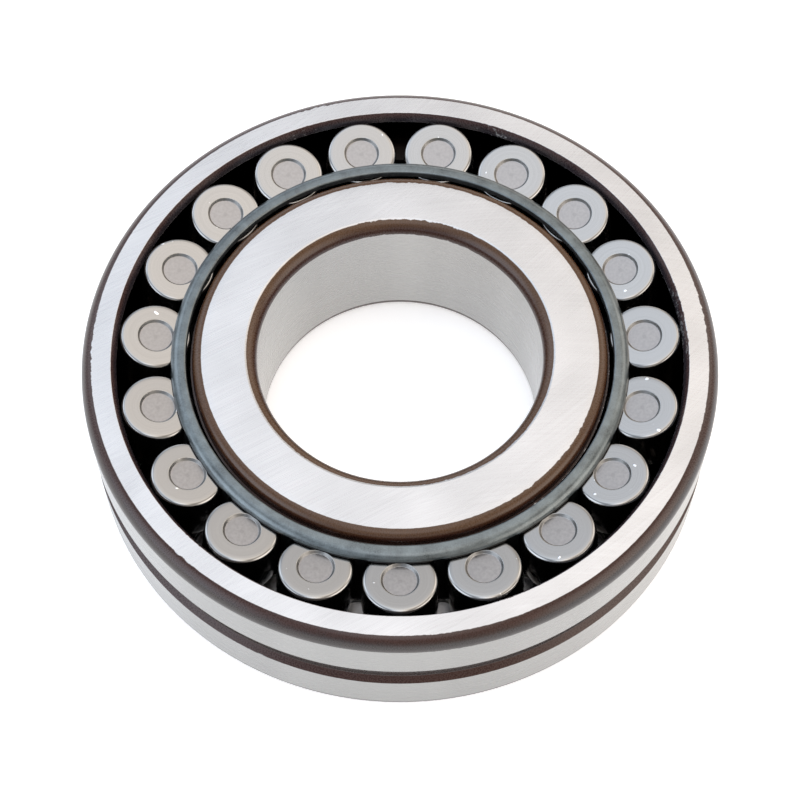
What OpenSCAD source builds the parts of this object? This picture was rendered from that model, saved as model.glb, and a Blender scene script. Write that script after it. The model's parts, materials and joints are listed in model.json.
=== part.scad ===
// Double-row spherical roller bearing with pressed window cages and a floating guide ring.
// Millimetres. The origin is the centre of the bearing, and +Z runs along the shaft.
//
// Each roller stands in a frame of its own: s runs along its axis towards the nearer ring face,
// and t runs square to that axis, away from the shaft. Both raceways have the same profile radius.
// The outer one is a sphere about the origin, and the arc of the inner one is centred at twice
// the roller's own centre, so the roller lies half-way between them.

/* [Boundary sizes] */
// Bore of the inner ring
bore_d = 45; // [30:0.5:54]
// Outside diameter of the outer ring
outside_d = 100; // [84:0.5:124]
// Width of both rings
width = 25; // [20:0.5:34]

/* [Outer ring] */
// Wall of the outer ring over the middle of its raceway
outer_wall = 4.18; // [3:0.02:6]
// Radius of the turned outer corners, which the face grinding cuts short
outer_corner = 2.48; // [1:0.02:3]
// Axial length of the outer corners
outer_corner_l = 2.37; // [0.8:0.01:2.6]
// Radial size of the lead-in at each mouth of the raceway
mouth_lead = 1.1; // [0.3:0.05:1.5]
// Axial length of the lead-in
mouth_l = 1.6; // [0.4:0.05:2.4]
// Width of the oil groove at the outside diameter
groove_w = 5; // [3.5:0.1:8]
// Axial length of each sloping flank of the oil groove
groove_flank = 0.8; // [0.2:0.05:1.2]
// Depth of the oil groove
groove_depth = 1; // [0.3:0.05:2]
// Number of oil holes through the groove
oil_holes = 3; // [1:1:8]
// Diameter of the oil holes
oil_hole_d = 3; // [1:0.1:3.3]
// Azimuth of the first oil hole in degrees
oil_hole_azimuth = 215; // [0:5:360]

/* [Inner ring] */
// Radius of the turned bore corners, which the face grinding cuts short
bore_corner = 2.18; // [1:0.02:2.6]
// Axial length of the bore corners
bore_corner_l = 2.15; // [0.8:0.01:2.4]
// Radius of the corners between the shoulders and the faces
shoulder_corner = 1.5; // [0.4:0.05:2]
// Radial step from the end of each raceway down to the shoulder
shoulder_step = 0.4; // [0.1:0.05:1]

/* [Rollers] */
// Number of rollers in each row
roller_count = 19; // [14:1:25]
// Gap between neighbouring rollers at their middles
roller_gap = 1.26; // [0.8:0.02:3]
// Distance from a ring face in to the middle of a roller's outer end
roller_setback = 1.63; // [1.2:0.01:3]
// Distance between the two rows, from the middles of the rollers' inner ends
row_gap = 3.58; // [3.2:0.02:6]
// How much smaller the barrel's profile radius is than the raceways'
crown_relief = 1.2; // [0.4:0.1:4]
// Radius of the rounded edges of the roller ends
roller_edge = 0.6; // [0.2:0.05:1]
// Diameter of the recess in each roller end, at its mouth
recess_d = 5.74; // [2:0.02:6.5]
// Depth of the recess
recess_depth = 0.45; // [0.1:0.05:1]
// How much narrower the recess is at its floor
recess_taper = 0.64; // [0.2:0.02:1]

/* [Cages] */
// Thickness of the cage's steel sheet
sheet = 1.3; // [0.8:0.05:1.6]
// Distance from the roller axes in to the outside of the cage wall
cage_drop = 2.66; // [1.8:0.02:3]
// Radius on the outside of the bend between wall and flange
cage_bend = 1.5; // [1.4:0.05:2.5]
// Gap between the roller ends and the flange, where the flange leaves the wall
flange_gap = 0.45; // [0.3:0.05:1]
// Radial gap between the flange's inner edge and the inner ring's shoulder
flange_bore_gap = 0.92; // [0.4:0.02:1.5]
// Gap between the two cages, where they face each other
cage_split = 0.3; // [0.1:0.02:0.6]

/* [Running clearances] */
// Clearance between a roller and each raceway
race_clearance = 0.08; // [0.03:0.01:0.2]
// Clearance between a roller and its window in the cage
window_gap = 0.15; // [0.05:0.01:0.3]
// Clearance of the guide ring from the roller ends and from the cages
guide_gap = 0.15; // [0.1:0.01:0.3]
// Radial clearance of the guide ring on the inner ring's land
land_gap = 0.1; // [0.03:0.01:0.2]

/* [Hidden] */
$fn = 128;
cut = 1;                                   // overrun of a cut past the face that it opens
UPPER = 1;                                 // side of the row nearer +Z
LOWER = -1;                                // side of the row nearer -Z
half_w = width / 2;
bore_r = bore_d / 2;
outer_r = outside_d / 2;
raceway_r = outer_r - outer_wall;

// Row geometry: the rollers fill the pitch circle, so their radius follows from their number.
pitch = 360 / roller_count;
outer_end_z = half_w - roller_setback;
inner_end_z = row_gap / 2;
row_z = (outer_end_z + inner_end_z) / 2;
half_pitch_sin = sin(pitch / 2);
reach = raceway_r - race_clearance;        // from the origin to the outermost point of a roller

// The roller radius R solves R + gap / 2 = sqrt((reach - R)^2 - row_z^2) * half_pitch_sin.
quad_a = 1 - pow(half_pitch_sin, 2);
quad_b = roller_gap + 2 * reach * pow(half_pitch_sin, 2);
quad_c = pow(roller_gap / 2, 2) - pow(half_pitch_sin, 2) * (pow(reach, 2) - pow(row_z, 2));
roller_r = (sqrt(pow(quad_b, 2) - 4 * quad_a * quad_c) - quad_b) / (2 * quad_a);
centre_distance = reach - roller_r;        // from the origin to a roller's centre
contact_angle = asin(row_z / centre_distance);
row_r = centre_distance * cos(contact_angle);
half_l = (outer_end_z - inner_end_z) / cos(contact_angle) / 2;
barrel_r = raceway_r - crown_relief;       // profile radius of the barrel

// Points and lines of the roller's frame, as [radius, z] of the upper row.
function from_roller(s, t) = [
    row_r - s * sin(contact_angle) + t * cos(contact_angle),
    row_z + s * cos(contact_angle) + t * sin(contact_angle)
];
function on_line(t, z) =
    from_roller((z - row_z - t * sin(contact_angle)) / cos(contact_angle), t);
function on_inner_raceway(s) =
    from_roller(s, raceway_r - sqrt(pow(raceway_r, 2) - pow(s, 2)) - roller_r - race_clearance);

// Inner ring outside the bore
land = on_inner_raceway(roller_edge - half_l);
raceway_end = on_inner_raceway(half_l);
shoulder_r = raceway_end[0] - shoulder_step;

// Cage lines
wall_out = -cage_drop;
wall_in = wall_out - sheet;
wall_end_z = cage_split / 2;
flange_z = from_roller(half_l + flange_gap, wall_in)[1];
flange_top_z = flange_z + sheet;
flange_bore_r = shoulder_r + flange_bore_gap;
bend_z = flange_top_z - cage_bend;         // height of the bend's centre

// Guide ring: its faces are cones that follow the rollers' inner ends.
guide_bore_r = land[0] + land_gap;
guide_outer_r = from_roller(-half_l - window_gap, wall_in)[0] - guide_gap;
function guide_half_t(r) =
    let (end = from_roller(-half_l - guide_gap, 0)) end[1] + (r - end[0]) * tan(contact_angle);

function roller_name(row, i) = str("roller_", row, i < 10 ? "_0" : "_", i);
function azimuth(side, i) = (i - 1) * pitch - 90 + (side == LOWER ? pitch / 2 : 0);

// The waste outside an arc of the given radius that leaves a cylinder at depth l below a face.
// x is the arc's centre, y is the depth's height, and dir is 1 where the waste lies outwards.
module corner_waste(x, y, radius, l, dir) {
    difference() {
        translate([dir > 0 ? x : x - radius - cut, y]) square([radius + cut, l + cut]);
        translate([x, y]) circle(r = radius);
    }
}

module both_ends() {
    children();
    mirror([0, 1, 0]) children();
}

module outer_ring() {
    face_r = sqrt(pow(raceway_r, 2) - pow(half_w, 2));
    lead_end_z = half_w - mouth_l;
    lead_end_r = sqrt(pow(raceway_r, 2) - pow(lead_end_z, 2));
    color("gainsboro")
    difference() {
        rotate_extrude()
        difference() {
            translate([0, -half_w]) square([outer_r, width]);
            circle(r = raceway_r);
            both_ends() {
                corner_waste(outer_r - outer_corner, half_w - outer_corner_l,
                             outer_corner, outer_corner_l, 1);
                polygon([
                    [0, half_w + cut], [face_r + mouth_lead, half_w + cut],
                    [face_r + mouth_lead, half_w], [lead_end_r, lead_end_z], [0, lead_end_z]
                ]);
            }
            polygon([
                [outer_r + cut, -groove_w / 2], [outer_r, -groove_w / 2],
                [outer_r - groove_depth, groove_flank - groove_w / 2],
                [outer_r - groove_depth, groove_w / 2 - groove_flank],
                [outer_r, groove_w / 2], [outer_r + cut, groove_w / 2]
            ]);
        }
        for (i = [0:oil_holes - 1])
            rotate([0, 0, oil_hole_azimuth + i * 360 / oil_holes])
            translate([raceway_r - outer_wall, 0, 0])
            rotate([0, 90, 0]) cylinder(d = oil_hole_d, h = 3 * outer_wall);
    }
}

module inner_ring() {
    color("silver")
    rotate_extrude()
    difference() {
        union() {
            translate([bore_r, -half_w]) square([shoulder_r - bore_r, width]);
            translate([bore_r, -raceway_end[1]])
                square([land[0] - bore_r, 2 * raceway_end[1]]);
        }
        both_ends() {
            translate([2 * row_r, 2 * row_z]) circle(r = raceway_r);
            corner_waste(bore_r + bore_corner, half_w - bore_corner_l,
                         bore_corner, bore_corner_l, -1);
            corner_waste(shoulder_r - shoulder_corner, half_w - shoulder_corner,
                         shoulder_corner, shoulder_corner, 1);
        }
    }
}

module guide_ring() {
    color("lightsteelblue")
    rotate_extrude()
    polygon([
        [guide_bore_r, -guide_half_t(guide_bore_r)],
        [guide_outer_r, -guide_half_t(guide_outer_r)],
        [guide_outer_r, guide_half_t(guide_outer_r)],
        [guide_bore_r, guide_half_t(guide_bore_r)]
    ]);
}

// Stands its children on the axis of roller i, with their middle at the roller's centre.
module at_roller(side, i) {
    rotate([0, 0, azimuth(side, i)])
    translate([row_r, 0, side * row_z])
    rotate([0, -side * contact_angle, 0])
    children();
}

module cage_profile() {
    difference() {
        polygon([
            on_line(wall_in, wall_end_z), on_line(wall_out, wall_end_z),
            on_line(wall_out, flange_top_z), [flange_bore_r, flange_top_z],
            [flange_bore_r, flange_z], on_line(wall_in, flange_z)
        ]);
        corner_waste(on_line(wall_out, bend_z)[0] - cage_bend, bend_z, cage_bend, cage_bend, 1);
    }
}

module cage(side) {
    color("slategray")
    difference() {
        rotate([side == LOWER ? 180 : 0, 0, 0]) rotate_extrude() cage_profile();
        for (i = [1:roller_count])
            at_roller(side, i)
            cylinder(r = roller_r + window_gap, h = 2 * (half_l + window_gap), center = true);
    }
}

module roller(side, i) {
    edge_x = roller_r - barrel_r
        + sqrt(pow(barrel_r - roller_edge, 2) - pow(half_l - roller_edge, 2));
    edge_angle = asin((half_l - roller_edge) / (barrel_r - roller_edge));
    recess_r = recess_d / 2;
    color("whitesmoke")
    at_roller(side, i)
    rotate_extrude()
    difference() {
        intersection() {
            translate([0, -half_l]) square([roller_r, 2 * half_l]);
            translate([roller_r - barrel_r, 0]) circle(r = barrel_r);
        }
        both_ends() {
            difference() {
                translate([edge_x, half_l - roller_edge])
                polygon([
                    [0, 0], 3 * roller_edge * [cos(edge_angle), sin(edge_angle)],
                    3 * roller_edge * [1, 1], [0, 3 * roller_edge]
                ]);
                translate([edge_x, half_l - roller_edge]) circle(r = roller_edge);
            }
            polygon([
                [0, half_l + cut], [recess_r, half_l + cut], [recess_r, half_l],
                [recess_r - recess_taper / 2, half_l - recess_depth], [0, half_l - recess_depth]
            ]);
        }
    }
}

outer_ring();
inner_ring();
guide_ring();
cage(UPPER);  // cage_upper
cage(LOWER);  // cage_lower
for (i = [1:roller_count]) {
    roller(UPPER, i);
    roller(LOWER, i);
}
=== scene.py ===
"""Spherical roller bearing: two ground rings, a guide ring, two pressed window cages and two rows of rollers.

The origin is the centre of the bearing and +Z runs along the shaft. Lengths are in metres. Every piece is
a surface worked out with numpy: a profile turned about an axis, with holes and windows let into its grid.
"""

import json
import math
from types import SimpleNamespace

import bmesh
import bpy
import numpy as np
from bpy.props import FloatProperty, FloatVectorProperty, IntProperty, PointerProperty
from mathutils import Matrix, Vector

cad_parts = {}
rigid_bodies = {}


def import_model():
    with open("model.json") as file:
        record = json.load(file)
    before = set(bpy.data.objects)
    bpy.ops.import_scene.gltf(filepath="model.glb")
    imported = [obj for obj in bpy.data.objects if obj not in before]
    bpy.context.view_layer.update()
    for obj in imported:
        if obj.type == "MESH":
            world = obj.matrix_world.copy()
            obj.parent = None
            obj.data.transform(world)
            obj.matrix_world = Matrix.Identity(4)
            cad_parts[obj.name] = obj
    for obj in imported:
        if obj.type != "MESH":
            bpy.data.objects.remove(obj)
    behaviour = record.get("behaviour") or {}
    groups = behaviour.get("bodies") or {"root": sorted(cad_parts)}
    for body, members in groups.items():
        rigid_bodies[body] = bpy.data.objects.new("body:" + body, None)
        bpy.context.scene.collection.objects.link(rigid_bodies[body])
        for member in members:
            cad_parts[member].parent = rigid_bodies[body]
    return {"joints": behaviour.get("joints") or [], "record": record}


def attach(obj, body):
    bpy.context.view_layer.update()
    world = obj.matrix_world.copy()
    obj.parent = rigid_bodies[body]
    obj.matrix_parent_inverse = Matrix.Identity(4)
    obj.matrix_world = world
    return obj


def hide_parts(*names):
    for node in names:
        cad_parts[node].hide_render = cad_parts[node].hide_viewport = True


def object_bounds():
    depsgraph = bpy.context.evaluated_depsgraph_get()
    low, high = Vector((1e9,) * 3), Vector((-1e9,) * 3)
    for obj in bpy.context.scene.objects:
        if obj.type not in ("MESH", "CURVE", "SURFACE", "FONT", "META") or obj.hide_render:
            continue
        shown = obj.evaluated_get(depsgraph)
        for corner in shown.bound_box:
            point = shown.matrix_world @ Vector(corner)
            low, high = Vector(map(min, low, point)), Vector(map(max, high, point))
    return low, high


bl_info = {
    "name": "Spherical roller bearing",
    "version": (1, 0, 0),
    "blender": (4, 5, 0),
    "location": "View3D > Sidebar > Bearing",
    "description": "Builds the rings, cages, rollers and guide ring of a spherical roller bearing",
    "category": "Mesh",
}

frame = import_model()
CAD_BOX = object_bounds()

MM = 0.001
CLOSE = 1e-7                # points nearer than this are one point
GUARD = 0.03 * MM           # flat strip beside a rounded edge, which keeps the flat's shading flat
UPPER, LOWER = 1, -1        # side of the row nearer +Z, and of the row nearer -Z
NO_WINDOW = 9.0             # marks a row of a profile that doesn't run along a cage window

# Columns of a profile's rows: radius, height, edge rounding, finish after the row, scale after it,
# and the place along a cage window, from -1 to 1.
R, Z, ROUND, FINISH, SCALED, ALONG = range(6)

# Inputs and outputs of Blender's Mix node
MIX_FLOAT_A, MIX_FLOAT_B, MIX_FLOAT = 2, 3, 0
MIX_COLOUR_A, MIX_COLOUR_B, MIX_COLOUR = 6, 7, 2


# ---------------------------------------------------------------------------------------------
# Sizes and colours

def linear(code):
    """Turns an sRGB hex colour into the linear red, green and blue that a shader takes."""
    value = np.array([int(code[i:i + 2], 16) for i in (0, 2, 4)]) / 255
    curve = np.where(value <= 0.04045, value / 12.92, ((value + 0.055) / 1.055) ** 2.4)
    return tuple(float(v) for v in curve)


def length(name, millimetres, description):
    return FloatProperty(name=name, description=description, default=millimetres * MM, min=0.0,
                         unit="LENGTH", precision=5)


def colour(name, code, description):
    return FloatVectorProperty(name=name, description=description, default=linear(code), size=3,
                               subtype="COLOR", min=0.0, max=1.0)


def joint_child(name):
    """The joint that carries a body."""
    return next(joint for joint in frame["joints"] if joint["child"] == name)


def mount_radius(name):
    mount = next(mount for mount in frame["record"]["mounts"] if mount["name"] == name)
    return mount["dims"]["r_mm"]


class RingSizes(bpy.types.PropertyGroup):
    bore_r: length("Bore radius", mount_radius("shaft_bore"), "Radius of the inner ring's bore")
    outer_r: length("Outside radius", CAD_BOX[1][0] / MM, "Outside radius of the outer ring")
    half_w: length("Half width", CAD_BOX[1][2] / MM, "Half the width of both rings")
    wall: length("Outer wall", 4.18, "Wall of the outer ring over the middle of its raceway")
    outer_corner: length("Outer corner", 2.48, "Radius of the turned outer corners")
    outer_corner_l: length("Outer corner length", 2.37, "Axial length of the outer corners")
    mouth_lead: length("Mouth lead-in", 1.1, "Radial size of the lead-in at each raceway mouth")
    mouth_l: length("Mouth length", 1.6, "Axial length of the lead-in")
    groove_w: length("Groove width", 5.0, "Width of the oil groove at the outside")
    groove_flank: length("Groove flank", 0.8, "Axial length of each sloping flank of the groove")
    groove_depth: length("Groove depth", 1.0, "Depth of the oil groove")
    oil_holes: IntProperty(name="Oil holes", description="Number of oil holes", default=3, min=1)
    oil_hole_r: length("Oil hole radius", 1.5, "Radius of the oil holes")
    oil_hole_azimuth: FloatProperty(name="First oil hole", description="Azimuth of the first oil hole",
                                    default=math.radians(215), subtype="ANGLE")
    bore_corner: length("Bore corner", 2.18, "Radius of the turned bore corners")
    bore_corner_l: length("Bore corner length", 2.15, "Axial length of the bore corners")
    shoulder_corner: length("Shoulder corner", 1.5, "Radius between a shoulder and its face")
    shoulder_step: length("Shoulder step", 0.4, "Step from a raceway's end down to the shoulder")
    edge_break: length("Edge break", 0.1, "Rounding of the ground edges")


class RollerSizes(bpy.types.PropertyGroup):
    gap: length("Roller gap", 1.26, "Gap between neighbouring rollers at their middles")
    setback: length("Setback", 1.63, "From a ring face in to the middle of a roller's outer end")
    row_gap: length("Row gap", 3.58, "Between the middles of the two rows' inner ends")
    crown_relief: length("Crown relief", 1.2, "How much smaller the barrel's profile radius is")
    edge: length("Roller edge", 0.6, "Radius of the rounded edges of the roller ends")
    recess_r: length("Recess radius", 2.87, "Radius of the recess in each end, at its mouth")
    recess_depth: length("Recess depth", 0.45, "Depth of the recess")
    recess_taper: length("Recess taper", 0.32, "How much smaller its radius is at the floor")
    clearance: length("Race clearance", 0.08, "Clearance between a roller and each raceway")


class CageSizes(bpy.types.PropertyGroup):
    sheet: length("Sheet", 1.3, "Thickness of the cage's steel sheet")
    drop: length("Cage drop", 2.66, "From the roller axes in to the outside of the cage wall")
    bend: length("Bend", 1.5, "Radius on the outside of the bend between wall and flange")
    flange_gap: length("Flange gap", 0.45, "Gap between the roller ends and the flange")
    bore_gap: length("Flange bore gap", 0.92, "Gap between the flange and the inner ring's shoulder")
    split: length("Cage split", 0.3, "Gap between the two cages, where they face each other")
    window_gap: length("Window gap", 0.15, "Clearance between a roller and its window")
    guide_gap: length("Guide gap", 0.15, "Clearance of the guide ring from rollers and cages")
    land_gap: length("Land gap", 0.1, "Radial clearance of the guide ring on the inner ring")
    edge_round: length("Sheared edge", 0.3, "Rounding of the flange's inner edge")
    window_round: length("Window edge", 0.1, "Rounding of the window edges")


class Finishes(bpy.types.PropertyGroup):
    ground_face: colour("Ground face", "D1D1D1", "Bearing steel where its faces are ground")
    # Painted shade: the outside and the bore carry darker copies of the face's ground steel, set to how
    # bright each reads.
    ground_outside_shaded: colour("Ground outside", "969694", "Bearing steel where the outside is ground")
    ground_bore_shaded: colour("Ground bore", "B1B0AE", "Bearing steel where the bore is ground")
    # Painted shade: the raceways are given an almost black tone for the shade among the rollers.
    shaded_honed_steel: colour("Honed steel", "2E2B2A", "Bearing steel of the raceways, dark with oil")
    polished_steel: colour("Polished steel", "ABABAA", "Bearing steel of the rollers")
    turned_steel: colour("Turned steel", "AAA8A7", "Dull floor of the roller recesses")
    scale_brown: colour("Brown scale", "38211A", "Heat-treatment scale by the outer ring's faces")
    scale_grey: colour("Grey scale", "2C2624", "Heat-treatment scale away from the outer ring's faces")
    scale_tan: colour("Tan scale", "50361F", "Heat-treatment scale by the inner ring's faces")
    scale_mouth: colour("Mouth scale", "463432", "Heat-treatment scale at the edge of the raceway mouths")
    # Painted shade: the mouth's scale turns darker in towards the raceway, where shade falls.
    scale_mouth_shaded: colour("Oiled scale", "221E22", "Heat-treatment scale by the raceways, dark with oil")
    phosphate: colour("Phosphate", "6A7375", "Phosphated sheet steel of the cages")
    # Painted shade: the cage walls between the rollers are given an almost black tone.
    shaded_phosphate: colour("Soaked phosphate", "121415", "Cage walls between the rollers, dark with oil")
    sintered_iron: colour("Sintered iron", "37383A", "Sintered iron of the guide ring")
    # Painted highlight: a near-white colour that makes the oil on the rollers show as glints.
    oil: colour("Oil", "F9FBFC", "Drops of preserving oil, which catch the light")
    stage_white: colour("Stage", "FBFBFB", "The floor under the bearing")


def sizes():
    """The sizes that follow from the driving ones, with the same formulas for both rows."""
    scene = bpy.context.scene
    ring, roller, cage = scene.bearing_rings, scene.bearing_rollers, scene.bearing_cages
    d = SimpleNamespace(ring=ring, roller=roller, cage=cage)
    d.count = sum(joint["parent"] == "cage_upper" for joint in frame["joints"])
    d.pitch = 2 * math.pi / d.count
    d.raceway_r = ring.outer_r - ring.wall
    inner_end = roller.row_gap / 2
    outer_end = ring.half_w - roller.setback
    d.row_z = (inner_end + outer_end) / 2
    # The rollers fill the pitch circle: R + gap / 2 = sqrt((reach - R)^2 - row_z^2) sin(pitch / 2).
    half_sin = math.sin(d.pitch / 2)
    reach = d.raceway_r - roller.clearance
    a = 1 - half_sin ** 2
    b = roller.gap + 2 * reach * half_sin ** 2
    c = (roller.gap / 2) ** 2 - half_sin ** 2 * (reach ** 2 - d.row_z ** 2)
    d.roller_r = (math.sqrt(b * b - 4 * a * c) - b) / (2 * a)
    d.contact = math.asin(d.row_z / (reach - d.roller_r))
    d.row_r = (reach - d.roller_r) * math.cos(d.contact)
    d.half_l = (outer_end - inner_end) / math.cos(d.contact) / 2
    d.barrel_r = d.raceway_r - roller.crown_relief
    d.land_r, d.land_z = on_inner_raceway(d, roller.edge - d.half_l)
    d.race_end_r, d.race_end_z = on_inner_raceway(d, d.half_l)
    d.shoulder_r = d.race_end_r - ring.shoulder_step
    d.wall_out = -cage.drop
    d.wall_in = -cage.drop - cage.sheet
    d.flange_z = from_roller(d, d.half_l + cage.flange_gap, d.wall_in)[1]
    d.flange_top = d.flange_z + cage.sheet
    d.flange_bore_r = d.shoulder_r + cage.bore_gap
    d.guide_bore_r = d.land_r + cage.land_gap
    d.guide_outer_r = from_roller(d, -d.half_l - cage.window_gap, d.wall_in)[0] - cage.guide_gap
    return d


def from_roller(d, s, t):
    """Radius and height of a point s along a roller's axis and t square to it, away from the shaft."""
    sine, cosine = math.sin(d.contact), math.cos(d.contact)
    return d.row_r - s * sine + t * cosine, d.row_z + s * cosine + t * sine


def on_line(d, t, z):
    """Radius and height where the line at t from a roller's axis reaches height z."""
    return from_roller(d, (z - d.row_z - t * math.sin(d.contact)) / math.cos(d.contact), t)


def on_inner_raceway(d, s):
    sagitta = d.raceway_r - math.sqrt(d.raceway_r ** 2 - s ** 2)
    return from_roller(d, s, sagitta - d.roller_r - d.roller.clearance)


def roller_azimuth(d, side, index):
    """Azimuth of roller index, counted from 1: the lower row stands half a pitch on."""
    return (index - 1) * d.pitch - math.pi / 2 + (d.pitch / 2 if side == LOWER else 0)


# ---------------------------------------------------------------------------------------------
# Profiles

def stretch(points, finish, scaled=0.0, rounding=0.0):
    """Rows of a profile: points are (radius, height), and rounding goes on the first of them."""
    points = np.atleast_2d(np.array(points, float))
    rows = np.zeros((len(points), 6))
    rows[:, :2] = points
    rows[0, ROUND] = rounding
    rows[:, FINISH] = finish
    rows[:, SCALED] = scaled
    rows[:, ALONG] = NO_WINDOW
    return rows


def arc(centre, radius, start, end, count):
    """An arc: the centre plus radius times cosine and sine of evenly spaced angles, ends included."""
    angle = np.radians(np.linspace(start, end, count))
    return np.column_stack([centre[0] + radius * np.cos(angle), centre[1] + radius * np.sin(angle)])


def line(start, end, count):
    """Evenly spaced points from start up to, but not including, end."""
    share = np.arange(count)[:, None] / count
    return np.array(start) * (1 - share) + np.array(end) * share


def both_halves(half, closed=True):
    """A profile from its lower half: the way back is the half reversed, with its heights negated."""
    back = half[::-1].copy()
    back[:, FINISH:ALONG] = np.roll(back[:, FINISH:ALONG], -1, axis=0)
    back[:, Z] *= -1
    back[:, ROUND] = half[::-1, ROUND]
    return np.vstack([half[:-1], back[:-1] if closed else back])


def eased(rows, steps=4):
    """Rounds the corners of a profile that have a rounding.

    Each such row becomes an arc that touches both of its neighbouring lines: it starts rounding times
    tan(turn / 2) before the corner and turns about a centre one rounding to the side. A guard row
    stands on either side of it. Returns the rows and, for each row, its length along the profile from
    the first one, with the corner's own length in the third value.
    """
    before = rows[:, :2] - np.roll(rows[:, :2], 1, axis=0)
    after = np.roll(rows[:, :2], -1, axis=0) - rows[:, :2]
    before /= np.linalg.norm(before, axis=1, keepdims=True)
    after /= np.linalg.norm(after, axis=1, keepdims=True)
    cross = before[:, 0] * after[:, 1] - before[:, 1] * after[:, 0]
    turn = np.arctan2(cross, (before * after).sum(axis=1))
    side = np.sign(turn)[:, None] * np.column_stack([-before[:, 1], before[:, 0]])
    rounding = rows[:, ROUND][:, None]
    reach = rounding * np.tan(np.abs(turn) / 2)[:, None]
    start = rows[:, :2] - before * reach
    angle = np.abs(turn)[:, None, None] * np.linspace(0, 1, steps + 1)[None, :, None]
    bow = np.sin(angle) * before[:, None] + (1 - np.cos(angle)) * side[:, None]
    bends = start[:, None] + rounding[:, None] * bow
    lead = (start - before * GUARD)[:, None]
    tail = (rows[:, :2] + after * (reach + GUARD))[:, None]
    points = np.concatenate([lead, bends, tail], axis=1)
    keep = np.repeat(rows[:, ROUND:ROUND + 1] > 0, steps + 3, axis=1)
    keep[:, 1] = True
    dense = np.repeat(rows[:, None], steps + 3, axis=1)
    dense[:, :, :2] = points
    owner = np.repeat(np.arange(len(rows))[:, None], steps + 3, axis=1)[keep]
    dense = dense[keep]
    run = np.concatenate([[0], np.cumsum(np.linalg.norm(np.diff(dense[:, :2], axis=0), axis=1))])
    corner = np.array([run[owner == i].mean() for i in range(len(rows))])
    # Rows before the middle of a rounded corner still belong to the stretch before it.
    early = run < corner[owner] - CLOSE
    dense[early, FINISH:ALONG] = np.roll(rows[:, FINISH:ALONG], 1, axis=0)[owner[early]]
    return dense, run, corner


def scale_depth(rows, dense, run, corner):
    """Signed distance along the profile to the nearest edge of the scale, positive inside the scale."""
    changed = rows[:, SCALED] != np.roll(rows[:, SCALED], 1)
    if not changed.any():
        return np.full(len(dense), -1.0)
    nearest = np.abs(run[:, None] - corner[changed][None]).min(axis=1)
    return np.where(dense[:, SCALED] > 0, nearest, -nearest)


# ---------------------------------------------------------------------------------------------
# Meshes

def grid_faces(rows, columns, closed_rows, closed_columns):
    """Quads of a grid whose points run row by row, wound so that a counter-clockwise profile faces out."""
    i = np.arange(rows if closed_rows else rows - 1)[:, None]
    j = np.arange(columns if closed_columns else columns - 1)[None]
    up, over = (i + 1) % rows, (j + 1) % columns
    corners = [i * columns + j, i * columns + over, up * columns + over, up * columns + j]
    return np.stack([np.broadcast_to(c, (i.size, j.size)) for c in corners], axis=-1)


def build(name, points, faces, finish, materials, values):
    """Makes an object from points, quads and the quads' finishes, and welds points that meet.

    values maps the name of an attribute to its values at the points, one or three numbers each.
    """
    mesh = bpy.data.meshes.new(name)
    points, faces = points.reshape(-1, 3), faces.reshape(-1, 4)
    mesh.vertices.add(len(points))
    mesh.vertices.foreach_set("co", points.ravel().astype(np.float32))
    mesh.loops.add(faces.size)
    mesh.loops.foreach_set("vertex_index", faces.ravel().astype(np.int32))
    mesh.polygons.add(len(faces))
    mesh.polygons.foreach_set("loop_start", np.arange(0, faces.size, 4, dtype=np.int32))
    mesh.polygons.foreach_set("material_index", np.asarray(finish).ravel().astype(np.int32))
    mesh.update(calc_edges=True)
    for key, value in values.items():
        value = np.asarray(value, np.float32)
        kind, field = ("FLOAT", "value") if value.ndim == 1 else ("FLOAT_VECTOR", "vector")
        mesh.attributes.new(key, kind, "POINT").data.foreach_set(field, value.ravel())
    welded = bmesh.new()
    welded.from_mesh(mesh)
    bmesh.ops.remove_doubles(welded, verts=welded.verts, dist=CLOSE)
    welded.to_mesh(mesh)
    welded.free()
    mesh.polygons.foreach_set("use_smooth", np.ones(len(mesh.polygons), bool))
    mesh.update()
    for material in materials:
        mesh.materials.append(material)
    piece = bpy.data.objects.new(name, mesh)
    bpy.context.scene.collection.objects.link(piece)
    return piece


def stand_for(piece, node):
    """The piece takes the place of a CAD node, and moves with the body of the same name."""
    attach(piece, node)
    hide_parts(node)


def turned(rows, segments, closed=True):
    """Turns a profile about Z: (radius cos a, radius sin a, height) at evenly spaced azimuths a."""
    dense, run, corner = eased(rows)
    azimuth = 2 * math.pi * np.arange(segments) / segments
    radius, height = dense[:, R][:, None], dense[:, Z][:, None]
    points = np.stack([radius * np.cos(azimuth), radius * np.sin(azimuth),
                       np.broadcast_to(height, (len(dense), segments))], axis=-1)
    faces = grid_faces(len(dense), segments, closed, True)
    finish = np.broadcast_to(dense[:len(faces), FINISH][:, None], faces.shape[:2])
    depth = scale_depth(rows, dense, run, corner)
    values = {"scale_depth": np.repeat(depth / MM, segments), "run": np.repeat(run / MM, segments)}
    return SimpleNamespace(dense=dense, azimuth=azimuth, points=points, faces=faces, finish=finish,
                           values=values)


# ---------------------------------------------------------------------------------------------
# Materials

# Most of a noise's values lie between the first two, and almost all between the second two.
NARROW, WIDE = (0.35, 0.65), (0.3, 0.7)


def add(tree, kind, inputs=None, **settings):
    """Adds a node, applies its settings, and sets or links its inputs."""
    node = tree.nodes.new(kind)
    for key, value in settings.items():
        setattr(node, key, value)
    for socket, value in (inputs or {}).items():
        if isinstance(value, bpy.types.NodeSocket):
            tree.links.new(value, node.inputs[socket])
        else:
            node.inputs[socket].default_value = value
    return node


def shader(name, **constants):
    """A new material: returns its tree, its Principled shader with the constants set, and the material."""
    material = bpy.data.materials.new(name)
    material.use_nodes = True
    tree = material.node_tree
    principled = tree.nodes["Principled BSDF"]
    for key, value in constants.items():
        principled.inputs[key.replace("_", " ")].default_value = value
    return tree, principled, material


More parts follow.
